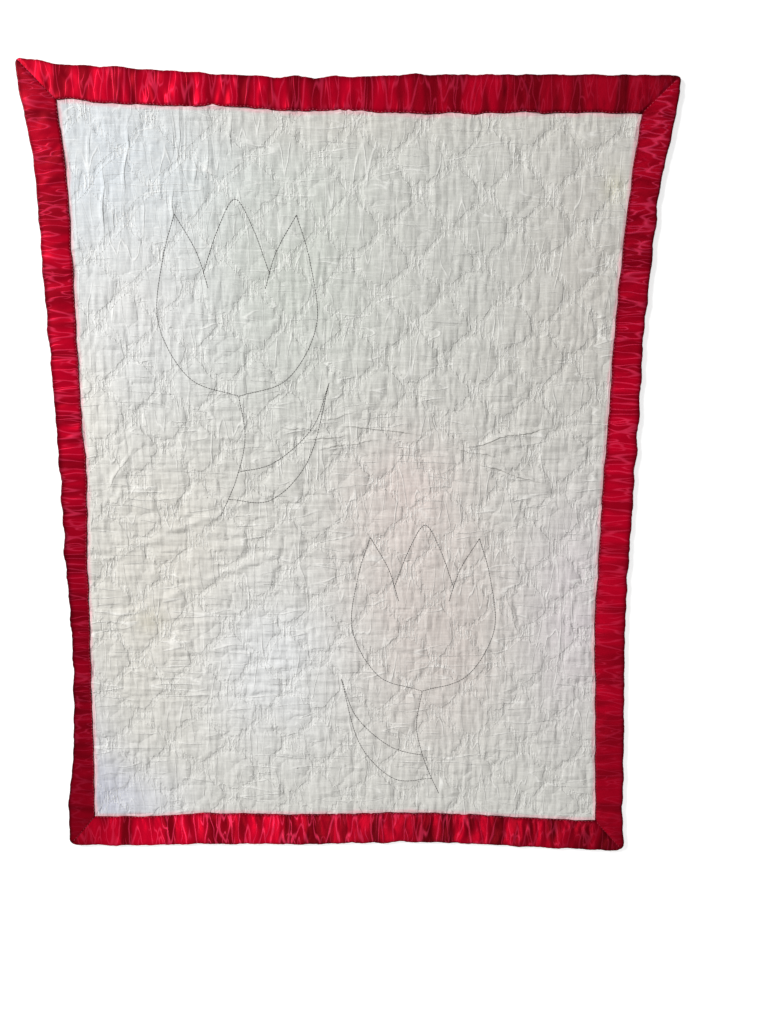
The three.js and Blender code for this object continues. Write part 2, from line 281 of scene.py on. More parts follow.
def quilt_relief(across, up, x, y):
    """Height of the quilted cotton above its sewn lines, and the shader's guides to the sewing.

    The guides are the depth inside a pillow, the distance from the hourglass drawn at every
    second crossing and the height above its waist; then how near the dense crossings are, and
    whether the puckers lie across, as 1, or are pulled upright, as -1.
    """
    diagonal, a, b = lattice(across, up)
    # Pillows: diamonds whose corners are cut off by a square of puckers round each crossing.
    crossing = np.maximum(np.abs(a - np.rint(a)), SQUARE_FLATNESS * np.abs(b - np.rint(b)))
    square = crossing * DIAMOND_SIZE - SQUARE_HALF
    pinch_x = np.abs(a - np.floor(a) - 0.5) * DIAMOND_SIZE
    pinch_y = np.abs(b - np.floor(b) - 0.5) * DIAMOND_SIZE
    corner = np.minimum(square, np.maximum(pinch_x, pinch_y) - PINCH_HALF)
    clear = 0.55 + 0.5 * noise(x / 150, y / 150, 23) + 0.35 * patch(x, y, *CLEAR_PART)
    # In the upper left the cotton is pulled upright, and the diamonds hardly show.
    upright = patch(x, y, *UPRIGHT_PART)
    clear = np.clip(clear - 0.35 * upright, 0.25, 1)
    shallow = 1 - 0.45 * bell(diagonal / 6)
    height = PILLOW_RISE * clear * shallow * (1 - np.exp(-np.clip(corner, 0, None) / 4.5))
    inner = np.minimum(corner, 1.2 * diagonal - CHANNEL_HALF_WIDTH) + 3 * upright
    waist = pinch_x - 3 - 0.022 * pinch_y**2
    height += 0.6 * clear * bell(waist / 3) * bell(pinch_y / 14)
    # Folds drawn up by the sewing and the wash: mostly upright, some lying across.
    lying = np.clip(sum(share * patch(x, y, *part) for *part, share in LYING_PARTS), 0, 1)
    sway = x + 2.5 * noise(x / 40, y / 24, 6)
    loose = np.clip(0.4 + 0.25 * upright + 0.9 * noise(x / 120, y / 100, 18), 0.1, 1)
    height += loose * (1 - 0.7 * lying) * (ridges(sway / 14, y / 70, 7, 1.4) - 0.3)
    height += 0.6 * noise(sway / 24, y / 90, 9)
    height += (0.3 + 0.7 * lying) * noise(x / 80, (y + 3 * noise(x / 30, y / 30, 11)) / 17, 12)
    # Drag lines in the lower left, rising to the right.
    turned = y * math.cos(DRAG_TURN) - x * math.sin(DRAG_TURN)
    height += 0.5 * patch(x, y, *DRAG_PART) * (ridges(turned / 22, x / 95, 13, 1.3) - 0.35)
    # Some crossings are drawn up tightly, and others hardly show.
    slack = np.clip(0.1 + noise(x / 110, y / 110, 25), 0, 1)
    guides = np.column_stack((inner, waist, pinch_y + 14 * slack))
    tight = np.clip(0.65 + 0.8 * noise(x / 85, y / 85, 24), 0.15, 1)
    return height, guides, tight * np.clip(0.5 - square / 5, 0, 1), lying - upright


PANEL_SIZE = (833, 1097)
SEAM_LEVEL = 4.0
SEAM_EASING = 7
DEEPEST_HOLLOW = -1.2


def border_easing(across, up):
    """0 on the seams, 1 well inside, with the distance to the nearest seam in millimetres."""
    width, length = PANEL_SIZE
    inside = np.minimum(np.minimum(across, 1 - across) * width, np.minimum(up, 1 - up) * length)
    return 1 - np.exp(-np.clip(inside, 0, None) / SEAM_EASING), inside


def seam_gathers(across, up, x, y):
    """Short puckers that run in from the four seams."""
    width, length = PANEL_SIZE
    total = np.zeros_like(x)
    for depth, along, reach, size in (
        ((1 - up) * length, x, 55, 1.0),
        (up * length, x, 38, 0.9),
        (across * width, y, 26, 0.6),
        ((1 - across) * width, y, 26, 0.6),
    ):
        sway = along + 3 * noise(along / 25, depth / 20, 14)
        total += size * np.exp(-depth / reach) * (ridges(sway / 11, depth / 60, 15, 1.2) - 0.35)
    return total


def top_height(across, up, x, y):
    """Height of the cotton's upper face, with the guides and the distance to the seams."""
    relief, *guides = quilt_relief(across, up, x, y)
    folds, crease = crease_folds(x, y)
    easing, inside = border_easing(across, up)
    relief += folds + seam_gathers(across, up, x, y)
    level = STITCH_HEIGHT + np.clip(relief, DEEPEST_HOLLOW, None)
    return SEAM_LEVEL + easing * (level - SEAM_LEVEL), relief, inside, (*guides, crease)


TOP_COLUMNS = 310
TOP_ROWS = 318
MARGIN_LINES = 2
MARGIN_REACH = (0, 0.3, 0.82)
MARGIN_HEIGHT = (4.0, 3.2, 1.8)


def panel_mesh(name, columns, rows):
    """A grid over the cotton with a margin inside the binding, and each point's place in it."""
    bm = bmesh.new()
    bmesh.ops.create_grid(bm, x_segments=columns, y_segments=rows, size=0.5)
    mesh = bpy.data.meshes.new(name)
    bm.to_mesh(mesh)
    bm.free()
    flat = np.empty(len(mesh.vertices) * 3)
    mesh.vertices.foreach_get("co", flat)
    flat = flat.reshape(-1, 3)
    counted = np.rint((flat[:, :2] + 0.5) * (columns, rows)).astype(int)
    inner = np.array((columns, rows)) - 2 * MARGIN_LINES
    share = np.clip((counted - MARGIN_LINES) / inner, 0, 1)
    beyond = np.maximum(MARGIN_LINES - counted, counted - MARGIN_LINES - inner)
    return mesh, share[:, 0], share[:, 1], np.clip(beyond, 0, None)


def margin_place(across, up, beyond):
    """Places in plan, with the margin carried out towards the binding's fold."""
    at = panel_point(across, up)
    reach = np.array(MARGIN_REACH)[beyond]
    left, right, bottom, top = (
        side_line(name, "edge", share) - side_line(name, "seam", share)
        for name, share in side_shares(across, up)
    )
    at[:, 0] += reach[:, 0] * np.where(across < 0.5, left[:, 0], right[:, 0])
    at[:, 1] += reach[:, 1] * np.where(up < 0.5, bottom[:, 1], top[:, 1])
    return at


def close_below(mesh):
    """Closes a mesh's open border with one hidden flat face, and shades the rest smooth."""
    bm = bmesh.new()
    bm.from_mesh(mesh)
    bmesh.ops.edgeloop_fill(bm, edges=[edge for edge in bm.edges if edge.is_boundary])
    bmesh.ops.recalc_face_normals(bm, faces=bm.faces)
    for face in bm.faces:
        face.smooth = len(face.verts) == 4
    bm.to_mesh(mesh)
    bm.free()


def shape_cloth(mesh, at, height, guides):
    """Sets a mesh's points and its UV map in metres from millimetres, and the shader's guides."""
    mesh.vertices.foreach_set("co", (np.column_stack((at, height)) * MM).ravel())
    mesh.update()
    corner = np.empty(len(mesh.loops), dtype=int)
    mesh.loops.foreach_get("vertex_index", corner)
    mesh.uv_layers.new(name="cloth").data.foreach_set("uv", (at[corner] * MM).ravel())
    for name, values in guides.items():
        kind, field = ("FLOAT", "value") if values.ndim == 1 else ("FLOAT_VECTOR", "vector")
        mesh.attributes.new(name, kind, "POINT").data.foreach_set(field, values.ravel())


def linear(red, green, blue):
    """A screen colour, 0 to 255, as the shader's own linear colour."""
    return tuple(((c / 255 + 0.055) / 1.055) ** 2.4 for c in (red, green, blue))


# Soft patches where the cotton is cooler, warmer or stained: place, reach and colour.
COTTON_COLOUR = (206, 205, 199)
COTTON_TINTS = (
    ((-330, 430), (230, 260), (210, 216, 222)),
    ((-350, -525), (85, 60), (210, 211, 215)),
    ((-412, -400), (40, 90), (199, 199, 199)),
    ((-410, -520), (62, 85), (189, 191, 204)),
    ((-60, 330), (200, 200), (198, 202, 194)),
    ((-280, -170), (150, 230), (212, 208, 199)),
    ((110, -150), (130, 220), (212, 202, 196)),
    ((90, -10), (70, 70), (216, 203, 197)),
    ((375, -190), (100, 180), (210, 202, 204)),
    ((345, 330), (160, 250), (199, 195, 188)),
    ((120, 530), (320, 45), (201, 198, 190)),
    ((-400, 120), (50, 110), (222, 219, 211)),
    ((388, 439), (17, 22), (204, 200, 182)),
    ((-312, -217), (24, 20), (207, 202, 188)),
    ((-320, 270), (110, 130), (215, 215, 213)),
    ((-120, -290), (110, 140), (219, 220, 220)),
    ((165, -240), (75, 130), (206, 197, 191)),
    ((140, 350), (150, 200), (198, 198, 192)),
)
# The pink of the painted red light that the satin throws on the cotton beside it.
SEAM_BOUNCE = (224, 172, 178)


def cotton_tint_and_bounce(x, y, inside):
    """The cotton's colour over the panel, from its patches, with painted pink light reflected off the satin.
    """
    colour = np.tile(np.array(linear(*COTTON_COLOUR)), (len(x), 1))
    ragged = np.clip(1 + 0.35 * noise(x / 70, y / 70, 16), 0, 1)
    for place, reach, tint in COTTON_TINTS:
        share = patch(x, y, place, reach) * ragged
        colour += share[:, None] * (np.array(linear(*tint)) - colour)
    # Painted reflection: a pink band beside the seam, for the red light thrown off the satin.
    rim = np.clip(1.4 - inside / (4.2 + 2 * noise(x / 30, y / 30, 19)), 0, 1)
    return colour + rim[:, None] * (np.array(linear(*SEAM_BOUNCE)) - colour)


def new_material(name, constants):
    """A material with some of its shader's sockets set, its node tree and those sockets."""
    material = bpy.data.materials.new(name)
    material.use_nodes = True
    sockets = material.node_tree.nodes["Principled BSDF"].inputs
    for key, value in constants.items():
        sockets[key].default_value = value
    return material, material.node_tree, sockets


def shade(tree, kind, inputs=None, **settings):
    """A shader node with its settings, each input given as a value or another node's output."""
    made = tree.nodes.new("ShaderNode" + kind)
    for key, value in settings.items():
        setattr(made, key, value)
    for key, value in (inputs or {}).items():
        if isinstance(value, bpy.types.NodeSocket):
            tree.links.new(value, made.inputs[key])
        else:
            made.inputs[key].default_value = value
    return made


def attribute(tree, name, output="Fac"):
    return shade(tree, "Attribute", attribute_name=name).outputs[output]


def tree_of(*values):
    """The node tree of the first node output among some values."""
    return next(value.id_data for value in values if isinstance(value, bpy.types.NodeSocket))


def sums(operation, first, second=0.0):
    tree = tree_of(first, second)
    return shade(tree, "Math", {0: first, 1: second}, operation=operation).outputs[0]


def times(first, second, added=0.0):
    """The product of two values, with a third added to it."""
    inputs = {0: first, 1: second, 2: added}
    return shade(tree_of(first, second, added), "Math", inputs, operation="MULTIPLY_ADD").outputs[0]


def most(first, second):
    return sums("MAXIMUM", first, second)


def blend(mode, factor, under, over):
    """Two colours mixed in the given mode."""
    inputs = {0: factor, 6: under, 7: over}
    tree = tree_of(factor, under, over)
    return shade(tree, "Mix", inputs, data_type="RGBA", blend_type=mode).outputs[2]


def between(value, low, high, start=0.0, end=1.0):
    """A smooth step of a value from low to high, put out from start to end."""
    inputs = {"Value": value, "From Min": low, "From Max": high, "To Min": start, "To Max": end}
    return shade(value.id_data, "MapRange", inputs, interpolation_type="SMOOTHSTEP").outputs["Result"]


def thread_weave():
    """Shared group: over-and-under threads at a given pitch, as a height and a slub."""
    group = bpy.data.node_groups.new("thread weave", "ShaderNodeTree")
    for name, kind in (("Cloth", "Vector"), ("Warp", "Float"), ("Weft", "Float")):
        group.interface.new_socket(name, in_out="INPUT", socket_type="NodeSocket" + kind)
    for name in ("Height", "Slub"):
        group.interface.new_socket(name, in_out="OUTPUT", socket_type="NodeSocketFloat")
    inputs = group.nodes.new("NodeGroupInput").outputs
    outputs = group.nodes.new("NodeGroupOutput").inputs
    split = shade(group, "SeparateXYZ", {0: inputs["Cloth"]}).outputs
    waves = []
    for axis, count in (("X", "Warp"), ("Y", "Weft")):
        waves.append(sums("SINE", times(split[axis], inputs[count])))
    slub = shade(group, "TexNoise", {"Vector": inputs["Cloth"], "Scale": 260.0, "Detail": 3.0})
    group.links.new(times(*waves), outputs["Height"])
    group.links.new(slub.outputs["Fac"], outputs["Slub"])
    return group


def placed_at(cloth, width, height, shift):
    """The cloth's place counted in steps of width and height in metres."""
    inputs = {"Vector": cloth, "Scale": (1 / width, 1 / height, 1.0), "Location": (shift, shift, 0.0)}
    return shade(cloth.id_data, "Mapping", inputs).outputs["Vector"]


def swayed_place(cloth, scale, detail, reach):
    """The cloth's place, swayed within a reach in metres so that no fold runs quite straight."""
    tree = cloth.id_data
    sway = shade(tree, "TexNoise", {"Vector": cloth, "Scale": scale, "Detail": detail}).outputs["Color"]
    centred = shade(tree, "VectorMath", {0: sway, 1: (0.5, 0.5, 0.5)}, operation="SUBTRACT").outputs[0]
    inputs = {0: centred, 1: (*reach, 0.0), 2: cloth}
    return shade(tree, "VectorMath", inputs, operation="MULTIPLY_ADD").outputs[0]


def stretched(cloth, width, height, shift):
    """Smooth noise, 0 to 1, whose bumps measure width by height in metres of cloth."""
    placed = placed_at(cloth, width, height, shift)
    settings = {"Vector": placed, "Scale": 1.0, "Detail": 0.6, "Roughness": 0.4}
    return shade(cloth.id_data, "TexNoise", settings, noise_dimensions="2D").outputs["Fac"]


def crests(cloth, width, height, thinness, shift):
    """Thin crest lines, 0 to 1, that part the cloth about every width and height in metres."""
    value = stretched(cloth, width, height, shift)
    away = sums("ABSOLUTE", sums("SUBTRACT", value, 0.5))
    return between(away, 0.0, thinness / 2, 1.0, 0.0)


WEAVE = thread_weave()


def woven_cloth(tree, warp, weft):
    """The place on the cloth in metres, with the height and the slub of its weave there."""
    cloth = shade(tree, "UVMap", uv_map="cloth").outputs["UV"]
    threads = {"Cloth": cloth, "Warp": warp, "Weft": weft}
    return cloth, shade(tree, "Group", threads, node_tree=WEAVE).outputs


COTTON_THREADS = 2 * math.pi / 0.0009
PUCKER_TURNS = 2 * math.pi / 0.0054
# Puckers and folds of the cotton: width and height in metres of cloth, the thinness of crest lines,
# and a shift that keeps each from following its neighbours.
FINGERS = (0.0066, 0.017, 2.2)
COMB_GAPS = (0.0062, 0.01, 0.0)
BLOCKS = (0.044, 0.036, 0.4)
LYING_RIPPLES = (0.05, 0.0095, 6.6)
UPRIGHT_RIPPLES = (0.0095, 0.05, 8.3)
LYING_RIDGES = (0.13, 0.02, 0.06, 9.1)
UPRIGHT_FOLDS = (0.02, 0.13, 0.05, 5.3)
UPRIGHT_CREASES = (0.026, 0.12, 0.04, 3.7)
LYING_STREAKS = (0.06, 0.0075, 0.12, 14.1)
UPRIGHT_STREAKS = (0.0075, 0.06, 0.12, 12.3)
LYING_PLAID = (0.05, 0.0026, 2.9)
UPRIGHT_PLAID = (0.0026, 0.05, 1.1)
# The grey of the painted shade in creases and hollows, and the near-white of painted highlights on crests.
COTTON_CREASE_SHADE = (0.74, 0.73, 0.71, 1.0)
COTTON_HIGHLIGHT = (252, 251, 247)


def cotton_material():
    """Soft washed cotton: its tint, pillow edges, puckers and folds, and a fine weave."""
    constants = {"Specular IOR Level": 0.15, "Sheen Weight": 0.1, "Sheen Roughness": 0.5}
    material, tree, cotton = new_material("washed cotton", constants)
    cloth, weave = woven_cloth(tree, COTTON_THREADS, COTTON_THREADS)
    inner, waist, reach = shade(tree, "SeparateXYZ", {0: attribute(tree, "sewing", "Vector")}).outputs
    lie = attribute(tree, "lying")
    swayed = swayed_place(cloth, 42.0, 2.0, (0.0035, 0.003))
    # Pillow edges: sharp, and broken into upright fingers by the puckers that cross the sewing.
    ragged = times(stretched(swayed, *FINGERS), 14.0, -7.0)
    pillow = between(sums("ADD", inner, ragged), -1.5, 1.5)
    channel = sums("SUBTRACT", 1.0, pillow)
    # Combs of short upright puckers in the sewing, thickest at the dense crossings, and the
    # hourglass edges.
    turns = times(shade(tree, "SeparateXYZ", {0: swayed}).outputs["X"], PUCKER_TURNS)
    broken = between(stretched(swayed, *COMB_GAPS), 0.4, 0.54)
    short = times(between(sums("SINE", turns), 0.3, 1.0), broken)
    drawn = times(short, most(times(channel, 0.7), attribute(tree, "square")))
    bent = times(ragged, 0.35, waist)
    glass = between(sums("ABSOLUTE", bent), 0.3, 1.6, 1.0, 0.0)
    glass = times(glass, between(reach, 8.0, 12.0, 1.0, 0.0))
    # Small blocky pillows between, as the wash has drawn the cloth up along its threads.
    cells = {"Vector": placed_at(swayed, *BLOCKS), "Scale": 1.0, "Randomness": 0.9}
    settings = {"voronoi_dimensions": "2D", "distance": "CHEBYCHEV"}
    nearest = shade(tree, "TexVoronoi", cells, feature="F1", **settings).outputs["Distance"]
    second = shade(tree, "TexVoronoi", cells, feature="F2", **settings).outputs["Distance"]
    depth = times(ragged, 0.02, sums("SUBTRACT", second, nearest))
    patches = shade(tree, "TexNoise", {"Vector": cloth, "Scale": 17.0, "Detail": 2.0}).outputs["Fac"]
    some = between(patches, 0.44, 0.62)
    others = between(patches, 0.55, 0.42)
    blocky = between(patches, 0.65, 0.45, 0.35, 1.0)
    domes = times(between(depth, -0.1, 0.5), blocky)
    grooves = times(between(depth, 0.0, 0.08), blocky)
    # Soft ripples, upright or lying across, and long thin folds, creases and ridges in patches.
    rows = times(stretched(swayed, *LYING_RIPPLES), between(lie, 0.0, 1.0, 0.3, 1.0))
    columns = times(stretched(swayed, *UPRIGHT_RIPPLES), between(lie, 0.0, 1.0, 1.0, 0.6))
    folded = times(crests(swayed, *UPRIGHT_FOLDS), some)
    creases = crests(swayed, *UPRIGHT_CREASES)
    creased = times(creases, others)
    pulled = times(creases, between(lie, 0.0, -0.7))
    ridged = times(crests(swayed, *LYING_RIDGES), others)
    # The long creases: a sharp step down to the right or downwards, with a dark line in it,
    # partly from its bump and partly painted shade.
    beside, keen, _ = shade(tree, "SeparateXYZ", {0: attribute(tree, "crease", "Vector")}).outputs
    beside = times(ragged, 0.2, beside)
    step = times(between(beside, -1.0, 1.0), keen)
    sharp = times(between(sums("ABSOLUTE", beside), 0.2, 1.2, 1.0, 0.0), keen)
    height = times(pillow, 0.52)
    for mask, rise in (
        (domes, 1.15), (grooves, 0.15), (drawn, 0.52), (glass, 0.45), (ridged, 0.5), (folded, 0.5),
        (creased, -0.06), (rows, 2.05), (columns, 1.4), (step, 0.8), (sharp, -0.2), (pulled, -0.2),
    ):
        height = times(mask, rise, height)
    height = times(height, attribute(tree, "crumple"))
    rippled = shade(tree, "Bump", {"Height": height, "Distance": 0.001, "Strength": 1.0}).outputs["Normal"]
    woven = {"Height": weave["Height"], "Distance": 0.00005, "Strength": 0.6, "Normal": rippled}
    tree.links.new(shade(tree, "Bump", woven).outputs["Normal"], cotton["Normal"])
    # Painted shade greys the creases and the hollows, and painted highlights make the crests pale.
    crease_shade = most(times(creased, 0.05), times(sharp, 0.6))
    crease_shade = most(most(crease_shade, times(pulled, 0.18)), attribute(tree, "hollow"))
    crease_shaded = blend("MULTIPLY", crease_shade, attribute(tree, "tint", "Vector"), COTTON_CREASE_SHADE)
    # Painted highlights: the combs, the crests of folds and ridges, and thin streaks are made pale.
    comb_highlight = times(most(drawn, times(glass, 0.6)), 0.7)
    crest_highlight = most(times(most(folded, ridged), 0.4), comb_highlight)
    streaks = most(crests(cloth, *UPRIGHT_STREAKS), crests(cloth, *LYING_STREAKS))
    crest_highlight = most(crest_highlight, times(streaks, 0.16))
    pale = blend("MIX", crest_highlight, crease_shaded, (*linear(*COTTON_HIGHLIGHT), 1.0))
    plaid = sums("ADD", stretched(cloth, *UPRIGHT_PLAID), stretched(cloth, *LYING_PLAID))
    uneven = between(sums("ADD", plaid, weave["Slub"]), 1.0, 2.0, 0.95, 1.05)
    tree.links.new(blend("MULTIPLY", 1.0, pale, uneven), cotton["Base Color"])
    tree.links.new(between(weave["Slub"], 0.0, 1.0, 0.84, 0.99), cotton["Roughness"])
    return material


def add_piece(name, mesh, material):
    """Puts a finished mesh in the scene as a piece of the quilt."""
    piece = bpy.data.objects.new(name, mesh)
    scene.collection.objects.link(piece)
    mesh.materials.append(material)
    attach(piece, "root")
    return piece


cotton = cotton_material()


def cotton_piece(mesh, at, height, beyond, margin_height, guides):
    """Shapes a grid as one face of the quilt, with its margin, and puts it in the scene."""
    outside = beyond.max(axis=1)
    height = np.where(outside > 0, np.array(margin_height)[outside], height)
    shape_cloth(mesh, at, height, guides)
    close_below(mesh)
    piece = add_piece(mesh.name, mesh, cotton)
    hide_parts("panel")
    return piece


# How crumpled the cotton is, by its place up the quilt, and the parts that are smoother by a share.
CRUMPLE_UP = ((-600, 120, 330, 600), (1.32, 1.32, 1.0, 0.97))
SMOOTH_PARTS = (((-370, 480), (130, 150), 0.27), ((-10, 340), (180, 140), 0.15))
TOP_HOLLOW_SHADE = 0.3
HOLLOW_FROM = 0.3
HOLLOW_DEPTH = 1.6
mesh, across, up, beyond = panel_mesh("quilt_top", TOP_COLUMNS, TOP_ROWS)
at = margin_place(across, up, beyond)
x, y = at.T
height, relief, inside, (sewing, square, lying, crease) = top_height(across, up, x, y)
smooth = sum(share * patch(x, y, *part) for *part, share in SMOOTH_PARTS)
guides = {"sewing": sewing, "square": square, "lying": lying, "crease": crease}
guides["tint"] = cotton_tint_and_bounce(x, y, inside)
# Painted shade in the hollows, darker the further the cotton sinks.
guides["hollow"] = TOP_HOLLOW_SHADE * np.clip((HOLLOW_FROM - relief) / HOLLOW_DEPTH, 0, 1)
guides["crumple"] = np.interp(y, *CRUMPLE_UP) - smooth
quilt_top = cotton_piece(mesh, at, height, beyond, MARGIN_HEIGHT, guides)

# Quilt back: a second length of the same cotton under the batting, caught up by every
# sewn line, lying on the floor between them.
BACK_COLUMNS = 110
BACK_ROWS = 144
BACK_LIFT = 1.1
BACK_MARGIN_HEIGHT = (1.0, 1.3, 1.7)
BACK_SLOPE = 12
BACK_SEWN_REACH = 9
BACK_SEWN_SHADE = 0.7
mesh, across, up, beyond = panel_mesh("quilt_back", BACK_COLUMNS, BACK_ROWS)
at = margin_place(across, up, beyond)
x, y = at.T
_, sewing, square, lying = quilt_relief(across, up, x, y)
diagonal, _, _ = lattice(across, up)
sewn = bell(diagonal / BACK_SEWN_REACH)
_, inside = border_easing(across, up)
slope = np.clip(1 - inside / BACK_SLOPE, 0, 1)
height = np.maximum(BACK_LIFT * sewn, BACK_MARGIN_HEIGHT[0] * slope)
guides = {"sewing": sewing, "square": square, "lying": lying, "crumple": np.ones(len(x))}
guides["tint"] = cotton_tint_and_bounce(-x, y, inside)
# Painted shade along the sewn lines, where the back is drawn up into the quilt.
guides["hollow"] = BACK_SEWN_SHADE * sewn
quilt_back = cotton_piece(mesh, at, height, beyond, BACK_MARGIN_HEIGHT, guides)

# Quilting thread: fine white running stitches in pairs along every diagonal, a few dark
# knots, and a large drawing in grey thread, sewn over the quilting: two plain tulips.
STITCH_PITCH = 5.0
STITCH_SIZE = (3.2, 0.9, 0.6)
STITCH_LIFT = 0.2
STITCH_COLOUR = (250, 249, 245)
DIAGONALS = range(-12, 22)
DIAGONAL_REACH = 22
DIAGONAL_POINTS = 4000
SEAM_GAP = (0.004, 0.003)
DRAWN_PITCH = 4.0
DRAWN_SIZE = (4.4, 1.3, 0.7)
DRAWN_COLOUR = (88, 84, 82)
KNOT_PLACES = ((-216, -20), (-81, -464), (260, -485), (387, -487))
KNOT_SIZE = (1.9, 1.5, 0.9)
KNOT_TURNS = (0.3, 2.4)
KNOT_COLOUR = (58, 54, 52)
TULIP = (
    ((0, 0), (-70, 25), (-112, 100), (-104, 185), (-85, 250)),
    ((-85, 250), (-56, 200), (-40, 150)),
    ((-47, 170), (-24, 232), (0, 270), (24, 232), (47, 170)),
    ((85, 250), (56, 200), (40, 150)),
    ((0, 0), (70, 25), (112, 100), (104, 185), (85, 250)),
    ((0, 0), (8, -60), (-6, -120), (-30, -175)),
    ((-4, -110), (50, -95), (105, -45), (130, 20)),
    ((-18, -150), (45, -150), (100, -90), (130, 20)),
)
TULIP_PLACES = ((-165, 135, 1.05), (120, -330, -1.0))


def smooth_path(points):
    """A smooth line through a few points, as many close points."""
    points = np.array(points, dtype=float)
    ends = np.vstack((2 * points[0] - points[1], points, 2 * points[-1] - points[-2]))
    t = np.linspace(0, 1, 40)[:, None]
    runs = []
    for p0, p1, p2, p3 in zip(ends, ends[1:], ends[2:], ends[3:]):
        cubic = (3 * (p1 - p2) + p3 - p0) * t**3 + (2 * p0 - 5 * p1 + 4 * p2 - p3) * t**2
        runs.append(p1 + 0.5 * ((p2 - p0) * t + cubic))
    return np.vstack(runs)


def stitch_row(path, pitch):
    """Middles and headings of even stitches along a line of close points in plan."""
    steps = np.hypot(*np.diff(path, axis=0).T)
    run = np.concatenate(((0,), np.cumsum(steps)))
    stops = np.arange(pitch / 2, run[-1], pitch)

    def point_at(distance):
        return np.column_stack([np.interp(distance, run, path[:, k]) for k in (0, 1)])

    heading = point_at(stops + 1) - point_at(stops - 1)
    return np.column_stack((point_at(stops), np.arctan2(*heading.T[::-1])))


def panel_share(at):
    """The cotton's own (across, up) at places in plan, found by steps from a first guess."""
    share = at / PANEL_SIZE + 0.5
    for _ in range(8):
        share = np.clip(share + (at - panel_point(*share.T)) / PANEL_SIZE, 0, 1)
    return share.T


def sewn_diagonals():
    """Both lines of every pair of sewn diagonals, as close points in plan."""
    rows = []
    apart = CHANNEL_HALF_WIDTH * math.sqrt(2) / DIAMOND_SIZE
    t = np.linspace(-DIAGONAL_REACH, DIAGONAL_REACH, DIAGONAL_POINTS)
    for slope in (1, -1):
        for k in DIAGONALS:
            for offset in (-apart, apart):
                a = (k + offset) / 2 + t
                b = slope * ((k + offset) / 2 - t)
                u, v = a, b
                for _ in range(6):
                    shift_a, shift_b = waviness(u, v)
                    u, v = a - shift_a, b - shift_b
                across = (u + LATTICE_SHIFT) / DIAMONDS_ACROSS
                up = (v + LATTICE_SHIFT) / DIAMONDS_UP
                beside = np.minimum(across, 1 - across)
                kept = (beside > SEAM_GAP[0]) & (np.minimum(up, 1 - up) > SEAM_GAP[1])
                if kept.sum() > 20:
                    rows.append(panel_point(across[kept], up[kept]))
    return rows


def stitch_mesh(name, rows, height, size):
    """Stitches as lozenges of thread in one joined mesh, from their places in plan and heights."""
    bm = bmesh.new()
    bmesh.ops.create_uvsphere(bm, u_segments=4, v_segments=2, radius=0.5)
    bmesh.ops.scale(bm, vec=size, verts=bm.verts)
    bm.verts.index_update()
    shape = np.array([vert.co for vert in bm.verts])
    sides = np.array([[vert.index for vert in face.verts] for face in bm.faces])
    bm.free()
    rows = np.vstack(rows)
    cos, sin = np.cos(rows[:, 2, None]), np.sin(rows[:, 2, None])
    x = rows[:, 0, None] + cos * shape[:, 0] - sin * shape[:, 1]
    y = rows[:, 1, None] + sin * shape[:, 0] + cos * shape[:, 1]
    z = height[:, None] + shape[:, 2]
    points = np.stack((x, y, z), axis=-1).reshape(-1, 3) * MM
    faces = (sides + len(shape) * np.arange(len(rows))[:, None, None]).reshape(-1, 3)
    mesh = bpy.data.meshes.new(name)
    mesh.from_pydata(points.tolist(), [], faces.tolist())
    mesh.shade_smooth()
    return mesh


def thread_material(name, colour):
    """Twisted sewing thread with a slight shine and an uneven colour along its length."""
    material, tree, thread = new_material(name, {"Roughness": 0.6, "Specular IOR Level": 0.3})
    place = shade(tree, "TexCoord").outputs["Object"]
    fibre = shade(tree, "TexNoise", {"Vector": place, "Scale": 900.0, "Detail": 2.0}).outputs["Fac"]
    darker = tuple(0.7 * c for c in linear(*colour))
    uneven = blend("MIX", fibre, (*darker, 1.0), (*linear(*colour), 1.0))
    tree.links.new(uneven, thread["Base Color"])
    return material


def cotton_stitches(name, rows, size, colour):
    """A piece of stitches that lie on the cotton's upper face."""
    at = np.vstack(rows)[:, :2]
    height, _, _, _ = top_height(*panel_share(at), *at.T)
    mesh = stitch_mesh(name, rows, height + STITCH_LIFT, size)
    return add_piece(name, mesh, thread_material(name + " thread", colour))


quilting = [stitch_row(path, STITCH_PITCH) for path in sewn_diagonals()]
cotton_stitches("quilting_stitches", quilting, STITCH_SIZE, STITCH_COLOUR)
drawing = []
for place_x, place_y, turned in TULIP_PLACES:
    for stroke in TULIP:
        placed = np.array(stroke) * (turned, abs(turned)) + (place_x, place_y)
        drawing.append(stitch_row(smooth_path(placed), DRAWN_PITCH))
cotton_stitches("drawn_stitches", drawing, DRAWN_SIZE, DRAWN_COLOUR)
knots = np.column_stack((np.array(KNOT_PLACES, dtype=float), np.linspace(*KNOT_TURNS, len(KNOT_PLACES))))
cotton_stitches("thread_knots", [knots], KNOT_SIZE, KNOT_COLOUR)

# Binding: four lengths of red satin blanket binding, folded over the raw edge, turned
# under and sewn down on both faces, and mitred at the corners. The sewing has gathered
# the satin into crosswise wrinkles.
STRIP_SECTIONS = 44
STATION_STEP = 1.55
UPPER_SHARE = 0.68
NOSE_SHARE = 0.82
NOSE_GIRTH = 4
FOLD_REACH = 2.2
FOLD_MIDDLE = 2.65
FOLD_HALF = 2.35
SEAM_TOP = 5.0
STRIP_CROWN = 0.45
SEAM_DIP = 0.85
SEAM_DIP_REACH = 2.0
SEAM_SHADE_REACH = 4
EDGE_SHADE_REACH = 5.6
EDGE_STRAY_REACH = 8
MITRE_EASING = 5
LOWEST_SATIN = 0.55
FOLD_DIP = 2.2
FOLD_PEAK = 3.2
UNDER_COVER = 0.9
SATIN_THICKNESS = 0.5
MITRE_LAP = {"bottom": 1.2, "top": 1.2, "right": 0.2, "left": 0.2}
MITRE_DIP = {"bottom": 0.9, "top": 0.9, "right": 0.3, "left": 0.3}
